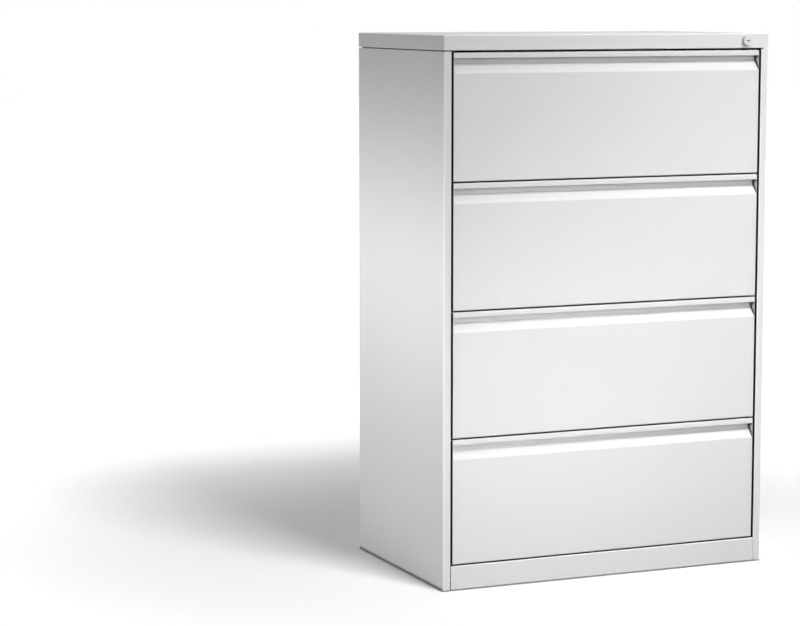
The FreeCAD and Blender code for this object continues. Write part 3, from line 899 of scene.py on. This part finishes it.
# The second colour is the painted shade of the sides that face away from the front.
lock_nickel = nickel_plate("lock_nickel", (0.60, 0.60, 0.595, 1), (0.42, 0.42, 0.425, 1), 0.36)
dress(["lock_housing", "lock_plug", "lock_nut"], lock_nickel)


# Lock wafers. Stamped steel plates that stand a little into the keyway from alternate
# sides, seen through the key slot. They turn with the plug.
wafer_steel = polished_steel("wafer_steel", (0.10, 0.10, 0.105, 1), 0.45)
low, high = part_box("lock_plug")
axis_x, axis_z = (low.x + high.x) / 2, (low.z + high.z) / 2
wafer_width, wafer_thickness, wafer_height = 0.0026, 0.0005, 0.0024
wafer_offset, wafer_depth, wafer_pitch = 0.0028, 0.0046, 0.0018
tip_inset, tip_reach, tip_share = 0.0001, 0.0005, 0.6
wafer = begin(
    "lock_wafers",
    bpy.ops.mesh.primitive_cube_add,
    size=1,
    location=(axis_x - wafer_offset, low.y + wafer_depth, axis_z),
    scale=(wafer_width, wafer_thickness, wafer_height),
)
pick_faces(wafer, lambda at, normal: normal.x > 0.9)
bpy.ops.mesh.inset(thickness=tip_inset)
bpy.ops.mesh.extrude_region_move(TRANSFORM_OT_translate={"value": (tip_reach, 0, 0)})
bpy.ops.transform.resize(value=(1, 1, tip_share), center_override=(axis_x, low.y, axis_z))
bpy.ops.object.mode_set(mode="OBJECT")
second = copy_of(wafer, "second_wafers", (0, 0, 0))
across = Matrix.Translation((axis_x, wafer_pitch / 2, 0)) @ Matrix.Scale(-1, 4, (1, 0, 0))
second.data.transform(across @ Matrix.Translation((-axis_x, 0, 0)))
bpy.ops.object.mode_set(mode="EDIT")
bpy.ops.mesh.select_all(action="SELECT")
bpy.ops.mesh.normals_make_consistent(inside=False)
bpy.ops.object.mode_set(mode="OBJECT")
wafer.select_set(True)
bpy.context.view_layer.objects.active = wafer
bpy.ops.object.join()
in_row(wafer, 3, (0, wafer_pitch, 0))
coat_with(wafer, wafer_steel)
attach(wafer, "lock_cylinder")


# Floor. A plain pale sweep under and behind the cabinet, white where the camera sees it
# lit. It gives back little light, so that the steel keeps its level.
def seen_directly(tree):
    path = put(tree, "LightPath").outputs
    first = put(
        tree, "Math", {0: path["Is Camera Ray"], 1: path["Is Glossy Ray"]}, operation="MAXIMUM"
    ).outputs[0]
    return put(
        tree, "Math", {0: first, 1: path["Is Transmission Ray"]}, operation="MAXIMUM"
    ).outputs[0]


bpy.ops.object.select_all(action="DESELECT")
bpy.ops.mesh.primitive_plane_add(size=60)
floor = bpy.context.object
floor.name = "floor"
floor_white, tree, shader = start_material("floor_white")
bounced, seen = (0.27, 0.27, 0.27, 1), (0.97, 0.97, 0.97, 1)
lit = put(tree, "Mix", {"Factor": seen_directly(tree), 6: bounced, 7: seen}, data_type="RGBA")
tree.links.new(lit.outputs[2], shader.inputs["Base Color"])
shader.inputs["Roughness"].default_value = 0.9
shader.inputs["Specular IOR Level"].default_value = 0.1
# Painted light: the floor glows for camera and glossy rays, faintly next to the cabinet and more
# strongly farther away, so that its shadow fades out.
place = put(tree, "TexCoord").outputs["Object"]
away = put(tree, "VectorMath", {0: place}, operation="LENGTH").outputs["Value"]
lift = put(
    tree,
    "MapRange",
    {"Value": away, "From Min": 0.6, "From Max": 2.6, "To Min": 0.1, "To Max": 0.8},
    interpolation_type="SMOOTHSTEP",
).outputs["Result"]
glow_seen = put(tree, "Math", {0: lift, 1: seen_directly(tree)}, operation="MULTIPLY").outputs[0]
painted_glow = put(tree, "Emission", {"Strength": glow_seen}).outputs[0]
both = put(tree, "AddShader", {0: shader.outputs[0], 1: painted_glow}).outputs[0]
tree.links.new(both, tree.nodes["Material Output"].inputs["Surface"])
floor.data.materials.append(floor_white)


# Room light. An even fill from all sides, and a plain white backdrop wherever the room
# is seen or mirrored.
world = bpy.data.worlds.new("room")
bpy.context.scene.world = world
world.use_nodes = True
tree = world.node_tree
fill = tree.nodes["Background"]
fill.name = "fill"
fill.inputs["Color"].default_value = (0.97, 0.985, 1.0, 1)
fill.inputs["Strength"].default_value = 0.239
backdrop = put(tree, "Background", {"Color": (1, 1, 1, 1), "Strength": 1.0})
chosen = put(
    tree, "MixShader", {0: seen_directly(tree), 1: fill.outputs[0], 2: backdrop.outputs[0]}
)
tree.links.new(chosen.outputs[0], tree.nodes["World Output"].inputs["Surface"])


# Lamps. The key stands in front, high and a little to the right, and throws the shadow; a
# second lamp in its place lights the floor alone and keeps it white. The others are soft
# boxes flagged off the floor, and those on the left are kept out of the steel's gloss.
flagged = bpy.data.collections.new("flagged_off_the_floor")
flagged.objects.link(floor)
flagged.collection_objects[0].light_linking.link_state = "EXCLUDE"
floor_only = bpy.data.collections.new("floor_only")
floor_only.objects.link(floor)


def soft_box(name, place, aim, width, height, beam, watts, roll=0):
    lamp = bpy.data.lights.new(name, "AREA")
    lamp.shape = "RECTANGLE"
    lamp.size, lamp.size_y = width, height
    lamp.spread = math.radians(beam)
    lamp.energy = watts
    held = bpy.data.objects.new(name, lamp)
    bpy.context.scene.collection.objects.link(held)
    held.location = place
    held.rotation_euler = (Vector(aim) - Vector(place)).to_track_quat("-Z", "Y").to_euler()
    held.rotation_euler.rotate_axis("Z", math.radians(roll))
    held.visible_camera = False
    return held


soft_box("key_lamp", (0.42, -3.2, 4.3), (0.0, 0.0, 0.3), 1.4, 1.4, 120, 28.3)
floor_lamp = soft_box("floor_lamp", (0.42, -3.2, 4.3), (0.0, 0.0, 0.3), 1.4, 1.4, 150, 91.2)
floor_lamp.light_linking.receiver_collection = floor_only
for held in (
    soft_box("front_lamp", (0.42, -3.6, 1.9), (0.0, 0.0, 0.6), 1.4, 1.4, 120, 9.92),
    soft_box("top_lamp", (0.0, -0.1, 3.4), (0.0, 0.0, 1.35), 0.8, 0.5, 40, 0.454),
    soft_box("low_right_lamp", (0.42, -3.2, 4.3), (0.9, -0.3, 0.3), 0.8, 0.8, 40, 6.61),
    soft_box(
        "slanted_strip", (0.05, -3.0, 0.68), (0.05, -0.26, 0.68), 1.4, 0.08, 33, 0.427, roll=28
    ),
    soft_box("low_left_lamp", (-0.9, -3.1, 0.25), (-0.3, -0.26, 0.35), 0.8, 0.3, 31, 0.851),
    soft_box("left_lamp", (-1.6, 0.0, 0.76), (-0.45, 0.0, 0.76), 2.0, 0.25, 90, 2.8),
    soft_box("left_strip", (-1.4, 0.0, 0.80), (-0.45, 0.0, 0.80), 2.0, 0.15, 60, 1.08),
    soft_box("left_foot_lamp", (-1.2, 0.15, 0.10), (-0.45, 0.1, 0.15), 2.0, 0.1, 90, 1.04),
    soft_box("right_lamp", (2.4, 0.1, 0.8), (0.45, 0.0, 0.75), 1.8, 1.0, 100, 11.0),
    soft_box("back_lamp", (0.0, 2.6, 0.9), (0.0, 0.27, 0.8), 0.8, 1.0, 100, 9.5),
):
    held.light_linking.receiver_collection = flagged
    held.visible_glossy = not held.name.startswith("left")


# Camera. It stands at the photograph's place, left of the front and a little above the
# top cover, and looks slightly down.
lens = bpy.data.cameras.new("camera")
lens.lens = 113.21
lens.sensor_width = 36
camera = bpy.data.objects.new("camera", lens)
bpy.context.scene.collection.objects.link(camera)
look_down, turn_right = 7.08, 23.22
camera.location = (-2.925, -5.768, 1.439)
camera.rotation_euler = (math.radians(90 - look_down), 0, math.radians(-turn_right))
bpy.context.scene.camera = camera

bpy.context.scene.view_settings.view_transform = "Standard"
